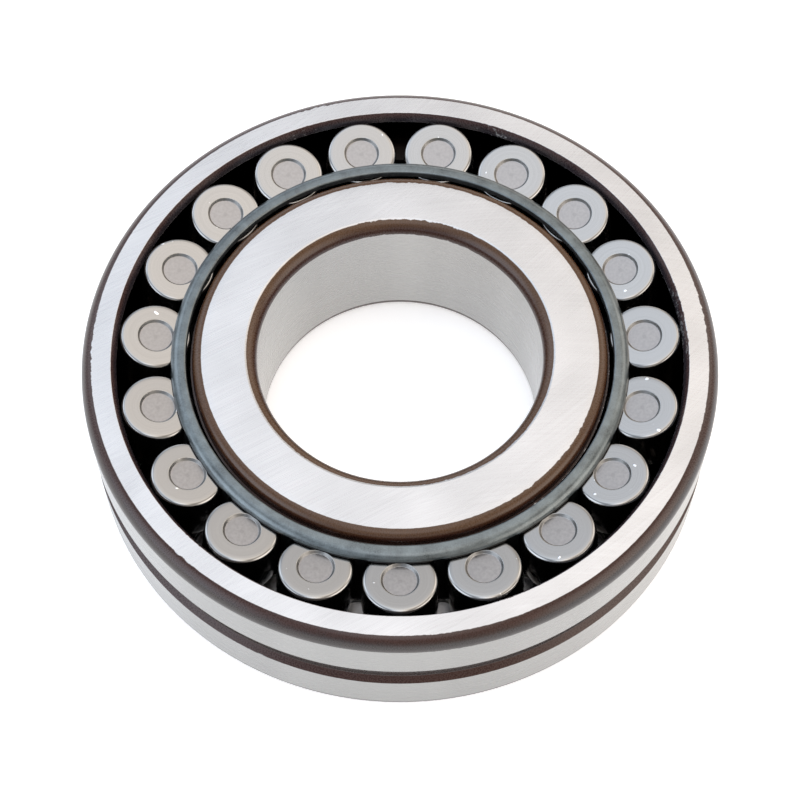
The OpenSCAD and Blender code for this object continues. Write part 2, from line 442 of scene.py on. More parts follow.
def plug(tree, principled, sources):
    """Links each source to the shader's socket of that name."""
    for socket, source in sources.items():
        tree.links.new(source, principled.inputs[socket])


def calc(tree, operation, *values):
    """The result of a Math node."""
    return add(tree, "ShaderNodeMath", dict(enumerate(values)), operation=operation).outputs[0]


def joined(tree, *parts):
    """A vector of up to three numbers."""
    return add(tree, "ShaderNodeCombineXYZ", dict(enumerate(parts))).outputs[0]


def split(tree, vector):
    return add(tree, "ShaderNodeSeparateXYZ", {0: vector}).outputs


def scaled(tree, vector, share):
    """A vector or colour times a number."""
    return add(tree, "ShaderNodeVectorMath", {0: vector, "Scale": share}, operation="SCALE").outputs[0]


def from_axis(tree, parts):
    """Distance from the Z axis of the vector that was split into parts."""
    flat = joined(tree, parts[0], parts[1])
    return add(tree, "ShaderNodeVectorMath", {0: flat}, operation="LENGTH").outputs["Value"]


def mapped(tree, value, source, target=(0.0, 1.0), smooth=False):
    """Carries value from the source range to the target range, and holds it there beyond the ends."""
    inputs = {"Value": value, "From Min": source[0], "From Max": source[1],
              "To Min": target[0], "To Max": target[1]}
    kind = "SMOOTHSTEP" if smooth else "LINEAR"
    return add(tree, "ShaderNodeMapRange", inputs, interpolation_type=kind).outputs[0]


def noise(tree, vector, scale, detail, roughness=0.5):
    inputs = {"Vector": vector, "Scale": scale, "Detail": detail, "Roughness": roughness}
    return add(tree, "ShaderNodeTexNoise", inputs).outputs["Fac"]


def blended(tree, share, first, second):
    """The first colour where share is 0, and the second where it is 1."""
    inputs = {0: share, MIX_COLOUR_A: first, MIX_COLOUR_B: second}
    for socket in (MIX_COLOUR_A, MIX_COLOUR_B):
        if not isinstance(inputs[socket], bpy.types.NodeSocket):
            inputs[socket] = (*inputs[socket], 1)
    return add(tree, "ShaderNodeMix", inputs, data_type="RGBA").outputs[MIX_COLOUR]


def either(tree, share, first, second):
    """The first number where share is 0, and the second where it is 1."""
    return add(tree, "ShaderNodeMix", {0: share, MIX_FLOAT_A: first, MIX_FLOAT_B: second}).outputs[MIX_FLOAT]


def relief(tree, height, strength, depth):
    """Tilts the surface as a height map of this depth in millimetres would."""
    inputs = {"Height": height, "Strength": strength, "Distance": depth * MM}
    return add(tree, "ShaderNodeBump", inputs).outputs[0]


def stored(tree, name, output="Fac"):
    """The values that a piece holds at its points under this name."""
    return add(tree, "ShaderNodeAttribute", attribute_name=name).outputs[output]


def in_millimetres(tree):
    """Object coordinates in millimetres, and their three parts."""
    vector = scaled(tree, add(tree, "ShaderNodeTexCoord").outputs["Object"], 1 / MM)
    return vector, split(tree, vector)


# Grinding marks on a face, as two sweeps: centre of the arcs in millimetres, marks per millimetre, seed
SWEEPS = (((25.0, -95.0), 3.2, 0.0), ((-110.0, 150.0), 3.0, 7.0))
SWEEP_ALONG = 0.045        # features per millimetre along a mark


def sweep_lines(tree, parts, centre, across, seed):
    """Fine lines on arcs about a far centre: noise squeezed across the arcs and drawn out along them.

    The noise reads (distance from the centre * across, angle about it * its distance * SWEEP_ALONG).
    """
    dx = calc(tree, "SUBTRACT", parts[0], centre[0])
    dy = calc(tree, "SUBTRACT", parts[1], centre[1])
    distance = from_axis(tree, (dx, dy))
    turn = calc(tree, "ARCTAN2", dx, dy)
    fast = calc(tree, "MULTIPLY", distance, across)
    slow = calc(tree, "MULTIPLY", turn, math.hypot(*centre) * SWEEP_ALONG)
    return noise(tree, joined(tree, fast, slow, seed), 1.0, 3.0, 0.65)


def turning_lines(tree, parts, across, along, seed):
    """Fine lines round the axis: noise squeezed along the profile and drawn out round the ring."""
    x, y = (calc(tree, "MULTIPLY", parts[i], along) for i in (0, 1))
    run = calc(tree, "MULTIPLY_ADD", stored(tree, "run"), across, seed)
    return noise(tree, joined(tree, x, y, run), 1.0, 3.0, 0.6)


def scale_layer(tree, vector, parts, near, away):
    """Heat-treatment scale whose edge was ground back: mask, colour and grain.

    Its colour runs from near, beside the face, to away. The edge wanders by a few hundredths of a
    millimetre, and by tenths where a slow noise lets it.
    """
    reach = mapped(tree, noise(tree, vector, 0.05, 1.0), (0.55, 0.7), (0.12, 0.9), smooth=True)
    ragged = calc(tree, "SUBTRACT", noise(tree, vector, 1.1, 4.0, 0.7), 0.5)
    edge = calc(tree, "MULTIPLY_ADD", ragged, reach, stored(tree, "scale_depth"))
    mask = mapped(tree, edge, (-0.05, 0.05), smooth=True)
    half_w = bpy.context.scene.bearing_rings.half_w / MM
    height = calc(tree, "ABSOLUTE", parts[2])
    # For the mouth this darkening inward is painted shade; on the other finishes it is the scale's own
    # colour.
    deep = mapped(tree, height, (half_w - 0.1, half_w - 1.3), smooth=True)
    mottle = calc(tree, "SUBTRACT", noise(tree, vector, 0.3, 5.0, 0.6), 0.5)
    share = add(tree, "ShaderNodeMath", {0: deep, 1: mottle}, operation="ADD", use_clamp=True).outputs[0]
    grain = noise(tree, vector, 4.0, 3.0)
    speckle = mapped(tree, grain, WIDE, (0.9, 1.1))
    return mask, scaled(tree, blended(tree, share, near, away), speckle), grain


def ring_steel(name, lines_on, ground_tone, near, away):
    """Through-hardened bearing steel, ground where it works and left scaled from the furnace elsewhere.

    Grinding leaves a bright satin with hair-fine lines. The real lines are a few hundredths of a
    millimetre apart, too fine to show, so they are drawn 0.3 mm apart. The scale is a thin smooth
    oxide: dark face on, and bright where it is seen at a slant.
    """
    tree, principled, material = shader(name, Anisotropic=0.35)
    vector, parts = in_millimetres(tree)
    if lines_on == "face":
        both = calc(tree, "ADD", *(sweep_lines(tree, parts, *sweep) for sweep in SWEEPS))
        lines = calc(tree, "MULTIPLY", both, 0.5)
        contrast, strength = 0.1, 0.25
    else:
        lines = turning_lines(tree, parts, 3.2, 0.035, 3.0)
        contrast, strength = 0.015, 0.05
    cloud = noise(tree, joined(tree, parts[0], parts[1]), 0.07, 2.0)
    level = calc(tree, "MULTIPLY", mapped(tree, lines, NARROW, (1.0 - contrast, 1.0 + contrast / 2)),
                 mapped(tree, cloud, NARROW, (0.92, 1.04)))
    mask, scale, grain = scale_layer(tree, vector, parts, near, away)
    satin = mapped(tree, lines, WIDE, (0.24, 0.32))
    oxide = mapped(tree, grain, WIDE, (0.22, 0.34))
    smoothed = calc(tree, "MULTIPLY", grain, 0.4)
    plug(tree, principled, {
        "Base Color": blended(tree, mask, scaled(tree, tuple(ground_tone), level), scale),
        "Roughness": either(tree, mask, satin, oxide),
        "Metallic": calc(tree, "SUBTRACT", 1.0, mask),
        "Normal": relief(tree, either(tree, mask, lines, smoothed), strength, 0.02),
        "Tangent": add(tree, "ShaderNodeTangent", direction_type="RADIAL", axis="Z").outputs[0],
    })
    return material


def shaded_honed_steel(name, finishes):
    """Bearing steel honed for rolling, painted almost black for the shade among the rollers: a dim smooth
    shine, even at a slant, with lines.
    """
    tree, principled, material = shader(name, Metallic=1.0, Specular_Tint=(0.15, 0.15, 0.15, 1.0))
    lines = turning_lines(tree, in_millimetres(tree)[1], 4.0, 0.03, 1.0)
    plug(tree, principled, {
        "Base Color": scaled(tree, tuple(finishes.shaded_honed_steel), mapped(tree, lines, WIDE, (0.9, 1.05))),
        "Roughness": mapped(tree, lines, WIDE, (0.16, 0.24)),
    })
    return material


def roller_steel(name, finishes):
    """Bearing steel ground and polished on ends and barrel: a clean mirror softened by circular marks.

    A few small beads of preserving oil stand on it, smoother than the steel, and their glints are painted in
    as a near-white colour.
    """
    tree, principled, material = shader(name, Metallic=1.0)
    parts = split(tree, stored(tree, "own", "Vector"))
    serial = stored(tree, "serial")
    marks = noise(tree, joined(tree, calc(tree, "MULTIPLY", from_axis(tree, parts), 5.0),
                               calc(tree, "MULTIPLY", serial, 7.3),
                               calc(tree, "MULTIPLY", parts[2], 4.0)), 1.0, 2.0)
    spot = joined(tree, parts[0], parts[1], serial)
    warm = tuple(c * k for c, k in zip(finishes.polished_steel, (1.0, 0.99, 0.965)))
    tone = blended(tree, noise(tree, spot, 0.3, 2.0), finishes.polished_steel, warm)
    steel = scaled(tree, tone, mapped(tree, marks, WIDE, (0.96, 1.02)))
    # Painted highlight: where the oil stands, the colour turns near-white for its glints; the smoother,
    # raised surface there is real.
    oil_drops_with_glint = mapped(tree, noise(tree, spot, 0.9, 0.0), (0.81, 0.86), smooth=True)
    plug(tree, principled, {
        "Base Color": blended(tree, oil_drops_with_glint, steel, finishes.oil),
        "Roughness": mapped(tree, oil_drops_with_glint, (0.0, 1.0), (0.17, 0.08)),
        "Normal": relief(tree, oil_drops_with_glint, 0.25, 0.05),
    })
    return material


def recess_steel(name, tone, smooth):
    """Forged and lightly turned steel in the roller recesses: dull, evenly grainy, with a centre mark."""
    tree, principled, material = shader(name, Metallic=1.0)
    own = stored(tree, "own", "Vector")
    grain = noise(tree, own, 2.5, 4.0)
    mark = mapped(tree, from_axis(tree, split(tree, own)), (0.22, 0.42), (0.9, 1.0))
    shade = calc(tree, "MULTIPLY", mark, mapped(tree, grain, WIDE, (0.87, 1.07)))
    plug(tree, principled, {
        "Base Color": scaled(tree, tuple(tone), shade),
        "Roughness": mapped(tree, grain, WIDE, (smooth, smooth + 0.1)),
        "Normal": relief(tree, grain, 0.3, 0.03),
    })
    return material


def phosphated_sheet(name, tone, coat):
    """Pressed sheet steel with an oiled phosphate coat: blue-grey, semi-gloss, with a fine crystal grain.

    Between the rollers the wall is painted almost black, as shade.
    """
    tree, principled, material = shader(name, Metallic=0.75, Coat_Weight=coat, Coat_Roughness=0.12)
    vector = in_millimetres(tree)[0]
    grain = noise(tree, vector, 5.0, 3.0)
    mixed = calc(tree, "MULTIPLY_ADD", grain, 0.45, noise(tree, vector, 0.35, 5.0, 0.65))
    plug(tree, principled, {
        "Base Color": scaled(tree, tuple(tone), mapped(tree, mixed, (0.55, 0.9), (0.65, 1.3))),
        "Roughness": mapped(tree, mixed, (0.5, 0.95), (0.26, 0.42)),
        "Normal": relief(tree, grain, 0.3, 0.02),
    })
    return material


def sintered_iron(name, finishes):
    """Pressed and sintered iron, turned on its cones: dark grey with pores and faint lines round it."""
    tree, principled, material = shader(name, Metallic=0.9)
    vector, parts = in_millimetres(tree)
    lines = turning_lines(tree, parts, 5.0, 0.05, 2.0)
    pores = add(tree, "ShaderNodeTexVoronoi", {"Vector": vector, "Scale": 3.0}).outputs["Distance"]
    level = calc(tree, "MULTIPLY", mapped(tree, pores, (0.05, 0.2), (0.6, 1.0)), lines)
    plug(tree, principled, {
        "Base Color": scaled(tree, tuple(finishes.sintered_iron), calc(tree, "MULTIPLY", level, 2.0)),
        "Roughness": mapped(tree, lines, (0.0, 1.0), (0.35, 0.5)),
    })
    return material


# Painted light and shade: the floor glows though it is no lamp, and the glow fades out under the rings as
# painted shade.
PAINTED_FLOOR_GLOW = 0.55          # light that the table itself gives
GLOW_SHADE_EDGES = (4.0, 2.0)    # widths over which it fades under the inner and the outer ring, millimetres


def glowing_stage_acrylic(name, finishes):
    """Matt white acrylic that glows a little, though it is no lamp, which washes out shadows round the
    bearing; under the rings the glow is taken away as painted shade.
    """
    tree, principled, material = shader(name, Roughness=0.9, Base_Color=(*finishes.stage_white, 1),
                                        Emission_Color=(1, 1, 1, 1))
    radius = from_axis(tree, in_millimetres(tree)[1])
    ring = bpy.context.scene.bearing_rings
    inner, outer = (ring.bore_r + ring.bore_corner) / MM, (ring.outer_r - ring.wall) / MM
    # Painted shade under the rings: the glow fades to none between the bore corner and the raceway.
    inside = mapped(tree, radius, (inner, inner + GLOW_SHADE_EDGES[0]), (PAINTED_FLOOR_GLOW, 0.0))
    outside = mapped(tree, radius, (outer, outer + GLOW_SHADE_EDGES[1]), (0.0, PAINTED_FLOOR_GLOW))
    plug(tree, principled, {"Emission Strength": calc(tree, "ADD", inside, outside)})
    return material


# ---------------------------------------------------------------------------------------------
# Pieces

FACE, CYLINDER, RACEWAY, MOUTH, GROOVE_SIDE = range(5)   # finishes of a ring
POLISHED, FLOOR, FLANK = 0, 1, 2           # finishes of a roller
# The wall finish of a cage is almost black: painted shade between the rollers.
RIM, SHADED_WALL = 0, 1                         # finishes of a cage

# Roundings that only take the sharpness off an edge
GUIDE_EDGE = 0.15 * MM
WALL_EDGE, FLANGE_EDGE, FLANGE_FILLET = 0.1 * MM, 0.15 * MM, 0.08 * MM
FLOOR_FILLET, RECESS_EDGE = 0.1 * MM, 0.12 * MM


def outer_ring_profile(d):
    """Lower half of the outer ring's profile, from the middle of the raceway round to the groove floor."""
    ring = d.ring
    lead_z = ring.half_w - ring.mouth_l
    lead_angle = math.degrees(math.asin(lead_z / d.raceway_r))
    face_r = math.sqrt(d.raceway_r ** 2 - ring.half_w ** 2) + ring.mouth_lead
    patch = math.degrees(math.asin(patch_half(d) / d.raceway_r))
    corner = (ring.outer_r - ring.outer_corner, ring.outer_corner_l - ring.half_w)
    start = -math.degrees(math.asin(ring.outer_corner_l / ring.outer_corner))
    turn = arc(corner, ring.outer_corner, start, 0, 15)
    middle = len(turn) // 2 + 1
    floor_r = ring.outer_r - ring.groove_depth
    return np.vstack([
        stretch(arc((0, 0), d.raceway_r, 0, -patch, PATCH_CELLS // 2 + 1)[:-1], RACEWAY),
        stretch(arc((0, 0), d.raceway_r, -patch, -lead_angle, 30)[:-1], RACEWAY),
        stretch(arc((0, 0), d.raceway_r, -lead_angle, -lead_angle, 1), MOUTH, 1.0, ring.edge_break),
        stretch(line((face_r, -ring.half_w), turn[0], 6), FACE, 0.0, ring.edge_break),
        stretch(turn[:middle], FACE, 1.0, ring.edge_break / 2),
        stretch(turn[middle:-1], CYLINDER, 1.0),
        stretch(line(turn[-1], (ring.outer_r, -ring.groove_w / 2), 8), CYLINDER),
        stretch((ring.outer_r, -ring.groove_w / 2), GROOVE_SIDE, 1.0, ring.edge_break),
        stretch((floor_r, ring.groove_flank - ring.groove_w / 2), CYLINDER, 1.0, 2 * ring.edge_break),
        stretch(line((floor_r, -floor_half(d)), (floor_r, 0), PATCH_CELLS // 2), CYLINDER, 1.0),
        stretch((floor_r, 0), CYLINDER, 1.0),
    ])


PATCH_CELLS = 8            # cells of the grid that an oil hole's patch takes, each way
PATCH_REACH = 1.35         # half the height of a raceway patch, in radii of the hole
FLOOR_REACH = 1.04         # the least half height of a floor patch, in radii of the hole
PATCH_LOOPS = 5            # loops from a patch's rim to the hole, and round the hole's edge
PATCH_RIM = 0.12           # rounding of an oil hole's edges, as a share of its radius
RING_SEGMENTS = 576


def patch_half(d):
    """Half the height of the patch that an oil hole takes out of the raceway."""
    return PATCH_REACH * d.ring.oil_hole_r


def floor_half(d):
    """Half the height of the patch in the groove floor, which is almost all of the floor."""
    ring = d.ring
    return max(ring.groove_w / 2 - ring.groove_flank - 2 * ring.edge_break, FLOOR_REACH * ring.oil_hole_r)


def oil_hole(d, shape, middle, first):
    """One oil hole in the turned grid: its own frame, and for both surfaces its loops and their angles.

    In the hole's own frame x runs out along its axis, and y and z are square to it. Each point of the
    patch's rim moves in a straight line in y and z to the point of the circle at the same share of the
    way round, and x follows from the surface: sqrt(r^2 - y^2) on the floor and sqrt(r^2 - y^2 - z^2)
    on the raceway. The tube's two ends are rounded.
    """
    radius = d.ring.oil_hole_r
    rim = PATCH_RIM * radius
    half = PATCH_CELLS // 2
    columns = (middle + np.arange(-half, half + 1)) % RING_SEGMENTS
    azimuth = shape.azimuth[middle]
    spin = np.array([[math.cos(azimuth), math.sin(azimuth), 0], [-math.sin(azimuth), math.cos(azimuth), 0],
                     [0, 0, 1]])
    # Radius of each surface, how much z counts in it, and the side of it that the metal is on
    surfaces = {"floor": (d.ring.outer_r - d.ring.groove_depth, 0.0, 1), "race": (d.raceway_r, 1.0, -1)}
    loops = []
    for side, (size, ball, inward) in surfaces.items():
        rows = (first[side] + np.arange(-half, half + 1)) % len(shape.dense)
        block = shape.points[np.ix_(rows, columns)] @ spin.T
        loop = np.concatenate([block[0, :-1], block[:-1, -1], block[-1, :0:-1], block[:0:-1, 0]])
        angle = np.arctan2(loop[:, 2], loop[:, 1])
        circle = np.column_stack([np.cos(angle), np.sin(angle)])
        share = np.linspace(0, 1, PATCH_LOOPS)[:, None, None]
        bow = np.radians(np.linspace(0, 90, PATCH_LOOPS)[1:])[:, None, None]
        flat = loop[:, 1:] * (1 - share) + (radius + rim) * circle * share
        lip = (radius + rim * (1 - np.sin(bow))) * circle
        sunk = np.concatenate([np.zeros(PATCH_LOOPS), rim * (1 - np.cos(bow.ravel()))])[:, None]
        y, z = np.moveaxis(np.concatenate([flat, lip]), -1, 0)
        x = np.sqrt(size ** 2 - y ** 2 - ball * z ** 2) - inward * sunk
        loops.append((np.stack([x, y, z], axis=-1), angle))
    return spin, loops


def outer_ring(d, finishes):
    """The outer ring: its profile turned about Z, with the oil holes let into groove and raceway."""
    shape = turned(both_halves(outer_ring_profile(d)), RING_SEGMENTS)
    radius, height = shape.dense[:, R], shape.dense[:, Z]
    level = np.abs(height) < CLOSE
    first = {"floor": int(np.flatnonzero(level & (radius > d.raceway_r + CLOSE))[0]),
             "race": int(np.flatnonzero(level & (radius < d.raceway_r + CLOSE))[0])}
    keep = np.ones(shape.faces.shape[:2], bool)
    half = PATCH_CELLS // 2
    points = [shape.points.reshape(-1, 3)]
    start = len(points[0])
    patch_faces, patch_finish = [], []
    for k in range(d.ring.oil_holes):
        azimuth = d.ring.oil_hole_azimuth + 2 * math.pi * k / d.ring.oil_holes
        middle = int(round(azimuth / (2 * math.pi) * RING_SEGMENTS)) % RING_SEGMENTS
        cells = (middle + np.arange(-half, half)) % RING_SEGMENTS
        for row in first.values():
            keep[np.ix_((row + np.arange(-half, half)) % len(shape.dense), cells)] = False
        spin, ((floor_loops, floor_angle), (race_loops, race_angle)) = oil_hole(d, shape, middle, first)
        # The raceway is seen from inside, so its loops run the other way round: they are put in the
        # order of the floor's, matched by angle, and the tube joins the two lips.
        order = [np.argmin(np.abs(np.angle(np.exp(1j * (race_angle - a))))) for a in floor_angle]
        stack = np.concatenate([floor_loops, race_loops[::-1][:, order]])
        rows, columns = stack.shape[:2]
        points.append((stack @ spin).reshape(-1, 3))
        patch_faces.append((grid_faces(rows, columns, False, True) + start).reshape(-1, 4))
        kinds = np.where(np.arange(rows - 1) < len(floor_loops), CYLINDER, RACEWAY)
        patch_finish.append(np.repeat(kinds, columns))
        start += rows * columns
    faces = np.concatenate([shape.faces[keep], *patch_faces])
    finish = np.concatenate([shape.finish[keep], *patch_finish])
    spare = start - len(points[0])
    values = {"scale_depth": np.concatenate([shape.values["scale_depth"], np.full(spare, 1.0)]),
              "run": np.concatenate([shape.values["run"], np.zeros(spare)])}
    # The outside's ground steel is a darker copy of the face's: painted shade.
    ground, outside = finishes.ground_face, finishes.ground_outside_shaded
    brown, grey = finishes.scale_brown, finishes.scale_grey
    materials = [
        ring_steel("Outer ring steel, ground face", "face", ground, brown, grey),
        ring_steel("Outer ring steel, ground outside", "cylinder", outside, brown, grey),
        shaded_honed_steel("Outer ring steel, shaded honed raceway", finishes),
        # Painted shade: the mouth's scale darkens from the face in towards the raceway.
        ring_steel("Outer ring steel, mouth in painted shade", "face", ground, finishes.scale_mouth,
                   finishes.scale_mouth_shaded),
        ring_steel("Outer ring steel, groove side", "cylinder", outside, brown, brown),
    ]
    piece = build("outer_ring_steel_ring", np.concatenate(points), faces, finish, materials, values)
    stand_for(piece, "outer_ring")


BRIGHT_STEPS = 1           # steps of a bore corner that the grinding of the face has cleaned


def inner_ring_profile(d):
    """Lower half of the inner ring's profile, from the middle of the land round to the bore."""
    ring = d.ring
    centre = (2 * d.row_r, -2 * d.row_z)
    land = math.degrees(math.atan2(-d.land_z - centre[1], d.land_r - centre[0]))
    end = math.degrees(math.atan2(-d.race_end_z - centre[1], d.race_end_r - centre[0]))
    shoulder = (d.shoulder_r - ring.shoulder_corner, ring.shoulder_corner - ring.half_w)
    bore = (ring.bore_r + ring.bore_corner, ring.bore_corner_l - ring.half_w)
    bore_start = 180 + math.degrees(math.asin(ring.bore_corner_l / ring.bore_corner))
    turn = arc(bore, ring.bore_corner, bore_start, 180, 13)
    middle = len(turn) // 2 + 1
    race = arc(centre, d.raceway_r, land % 360, end % 360, 26)
    return np.vstack([
        stretch((d.land_r, 0), RACEWAY),
        stretch(race[:-1], RACEWAY, 0.0, ring.edge_break),
        stretch((d.race_end_r, -d.race_end_z), FACE, 1.0, ring.edge_break),
        stretch((d.shoulder_r, -d.race_end_z), FACE, 1.0, ring.edge_break),
        stretch(arc(shoulder, ring.shoulder_corner, 0, -90, 12)[:-1], FACE, 1.0),
        stretch(line((shoulder[0], -ring.half_w), turn[0], 6), FACE),
        stretch(turn[:BRIGHT_STEPS], FACE, 0.0, ring.edge_break / 2),
        stretch(turn[BRIGHT_STEPS:middle], FACE, 1.0),
        stretch(turn[middle:-1], CYLINDER, 1.0),
        stretch(line((ring.bore_r, ring.bore_corner_l - ring.half_w), (ring.bore_r, 0), 8), CYLINDER),
        stretch((ring.bore_r, 0), CYLINDER),
    ])


def inner_ring(d, finishes):
    """The inner ring: its profile turned about Z. The half runs clockwise, so it is reversed first."""
    half = inner_ring_profile(d)[::-1].copy()
    half[:, FINISH:ALONG] = np.roll(half[:, FINISH:ALONG], -1, axis=0)
    shape = turned(both_halves(half), RING_SEGMENTS)
    brown, tan = finishes.scale_brown, finishes.scale_tan
    # The bore's ground steel is a darker copy of the face's: painted shade.
    materials = [ring_steel("Inner ring steel, ground face", "face", finishes.ground_face, tan, brown),
                 ring_steel("Inner ring steel, ground bore", "cylinder", finishes.ground_bore_shaded, tan, brown),
                 shaded_honed_steel("Inner ring steel, shaded honed raceway", finishes)]
    piece = build("inner_ring_steel_ring", shape.points, shape.faces, shape.finish, materials, shape.values)
    stand_for(piece, "inner_ring")


def guide_ring(d, finishes):
    """The guide ring: a four-sided profile whose upper and lower sides follow the rollers' inner ends."""
    end_r, end_z = from_roller(d, -d.half_l - d.cage.guide_gap, 0)

    def half_thickness(radius):
        return end_z + (radius - end_r) * math.tan(d.contact)

    bore, outside = d.guide_bore_r, d.guide_outer_r
    rows = np.vstack([
        stretch((bore, -half_thickness(bore)), 0, rounding=GUIDE_EDGE),
        stretch((outside, -half_thickness(outside)), 0, rounding=GUIDE_EDGE),
        stretch((outside, half_thickness(outside)), 0, rounding=GUIDE_EDGE),
        stretch((bore, half_thickness(bore)), 0, rounding=GUIDE_EDGE),
    ])
    shape = turned(rows, RING_SEGMENTS)
    materials = [sintered_iron("Sintered guide ring iron", finishes)]
    piece = build("guide_ring_iron_ring", shape.points, shape.faces, shape.finish, materials, shape.values)
    stand_for(piece, "guide_ring")


WEB_COLUMNS = 5            # cells across half of the web between two windows
WINDOW_COLUMNS = 12        # cells across a window
WINDOW_ROWS = 14           # cells along a window


def cage_point(d, t, w, l, across, along, web=0.0):
    """Azimuth, radius and height of a point of the cage wall near a window.

    The wall is the cone at t from the roller axes. The window is where a cylinder of radius w and half
    length l about the roller's axis cuts it: at radius p, q = p (1 - cos a) solves
    -q^2 sin^2 c + 2 q (p - t cos c) = w^2 - t^2, where c is the contact angle and a the azimuth of the
    window's side. across runs from -1 to 1 between the sides, and web from 0 at a side to 1 at the
    middle of the web.
    """
    sine, cosine = math.sin(d.contact), math.cos(d.contact)
    place = along * l
    p = d.row_r - place * sine + t * cosine
    lever = p - t * cosine
    q = (lever - np.sqrt(lever ** 2 - sine ** 2 * (w ** 2 - t ** 2))) / sine ** 2
    side = np.arccos(1 - q / p)
    azimuth = across * side + np.sign(across) * web * (d.pitch / 2 - side)
    sag = p * (1 - np.cos(across * side)) * (1 - web)
    s = place - sag * sine
    return azimuth, d.row_r - s * sine + t * cosine, d.row_z + s * cosine + t * sine


def cage_profile(d):
    """The cage's profile, counter-clockwise from its inboard edge, with rows along the windows."""
    cage = d.cage
    rim = cage.split / 2
    bend_z = d.flange_top - cage.bend
    bend_r = on_line(d, d.wall_out, bend_z)[0] - cage.bend
    reach = d.half_l + cage.window_gap + cage.window_round
    along = np.linspace(-1, 1, WINDOW_ROWS + 1)
    outside = stretch(np.column_stack(from_roller(d, along * reach, d.wall_out)), SHADED_WALL)
    outside[:, ALONG] = along
    inside = stretch(np.column_stack(from_roller(d, -along * reach, d.wall_in)), SHADED_WALL)
    inside[:, ALONG] = -along
    return np.vstack([
        stretch(on_line(d, d.wall_in, rim), SHADED_WALL, rounding=WALL_EDGE),
        stretch(on_line(d, d.wall_out, rim), SHADED_WALL, rounding=WALL_EDGE),
        outside,
        stretch(arc((bend_r, bend_z), cage.bend, 2 * math.degrees(d.contact), 90, 10), RIM),
        stretch((d.flange_bore_r, d.flange_top), RIM, rounding=cage.edge_round),
        stretch((d.flange_bore_r, d.flange_z), RIM, rounding=FLANGE_EDGE),
        stretch(on_line(d, d.wall_in, d.flange_z), SHADED_WALL, rounding=FLANGE_FILLET),
        inside,
    ])


def cage(d, side, finishes):
    """One cage: a sector of its profile's grid with one window, repeated round the axis.

    The columns of the grid bend round the window, whose cells are left out. A tube of loops joins the
    window's edges on the two sides of the sheet, rounded at both.
    """
    rows = cage_profile(d)
    dense = eased(rows)[0]
    count = len(dense)
    gap, rounding = d.cage.window_gap, d.cage.window_round
    open_w, open_l = d.roller_r + gap + rounding, d.half_l + gap + rounding
    across = np.concatenate([-np.ones(WEB_COLUMNS), np.linspace(-1, 1, WINDOW_COLUMNS + 1),
                             np.ones(WEB_COLUMNS)])
    web = np.concatenate([np.linspace(1, 0, WEB_COLUMNS + 1)[:-1], np.zeros(WINDOW_COLUMNS + 1),
                          np.linspace(0, 1, WEB_COLUMNS + 1)[1:]])
    along = dense[:, ALONG]
    on_window = along != NO_WINDOW
    window_rows = np.flatnonzero(on_window)
    nearest = window_rows[np.abs(window_rows[None] - np.arange(count)[:, None]).argmin(axis=1)]
    wall = np.where(np.arange(count) <= window_rows[WINDOW_ROWS], d.wall_out, d.wall_in)[nearest]
    azimuth, radius, height = cage_point(d, wall[:, None], open_w, open_l, across[None],
                                         along[nearest][:, None], web[None])
    radius = np.where(on_window[:, None], radius, dense[:, R][:, None])
    height = np.where(on_window[:, None], height, dense[:, Z][:, None])
    sheet = np.stack([radius * np.cos(azimuth), radius * np.sin(azimuth), height], axis=-1)
    faces = grid_faces(count, len(across), True, False)
    keep = np.ones(faces.shape[:2], bool)
    for start in (window_rows[0], window_rows[WINDOW_ROWS + 1]):
        keep[start:start + WINDOW_ROWS, WEB_COLUMNS:WEB_COLUMNS + WINDOW_COLUMNS] = False

    ticks = np.linspace(-1, 1, WINDOW_COLUMNS + 1)
    ranks = np.linspace(-1, 1, WINDOW_ROWS + 1)
    loop_across = np.concatenate([ticks[:-1], np.ones(WINDOW_ROWS), ticks[:0:-1], -np.ones(WINDOW_ROWS)])
    loop_along = np.concatenate([-np.ones(WINDOW_COLUMNS), ranks[:-1], np.ones(WINDOW_COLUMNS), ranks[:0:-1]])
    bow = np.radians([0, 30, 60, 90])
    out = rounding * (1 - np.sin(bow))
    sunk = rounding * (1 - np.cos(bow))
    depth = np.concatenate([d.wall_out - sunk, (d.wall_in + sunk)[::-1]])[:, None]
    spare = np.concatenate([out, out[::-1]])[:, None]
    azimuth, radius, height = cage_point(d, depth, d.roller_r + gap + spare, d.half_l + gap + spare,
                                         loop_across[None], loop_along[None])
    tube = np.stack([radius * np.cos(azimuth), radius * np.sin(azimuth), height], axis=-1)
    tube_faces = grid_faces(len(tube), tube.shape[1], False, True) + sheet.shape[0] * sheet.shape[1]
    sector = np.concatenate([sheet.reshape(-1, 3), tube.reshape(-1, 3)])
    if side == LOWER:
        sector = sector * (1, -1, -1)
    sector_faces = np.concatenate([faces[keep], tube_faces.reshape(-1, 4)])
    turn = np.array([roller_azimuth(d, side, i + 1) for i in range(d.count)])
    x, y, z = sector.T
    points = np.stack([np.cos(turn)[:, None] * x - np.sin(turn)[:, None] * y,
                       np.sin(turn)[:, None] * x + np.cos(turn)[:, None] * y,
                       np.broadcast_to(z, (d.count, len(z)))], axis=-1)
    all_faces = sector_faces[None] + (np.arange(d.count) * len(sector))[:, None, None]
    name = "cage_upper" if side == UPPER else "cage_lower"
    row = name.split("_")[1]
    # Painted shade: the wall between the rollers is almost black and has no coat.
    materials = [phosphated_sheet("Phosphated cage rim, " + row, finishes.phosphate, 0.8),
                 phosphated_sheet("Cage wall in painted shade, " + row, finishes.shaded_phosphate, 0.0)]
    finish = np.concatenate([np.repeat(dense[:, FINISH][:, None], faces.shape[1], axis=1)[keep],
                             np.full(tube_faces.shape[0] * tube_faces.shape[1], SHADED_WALL)])
    piece = build(name + "_sheet", points, all_faces, np.tile(finish, d.count), materials, {})
    stand_for(piece, name)


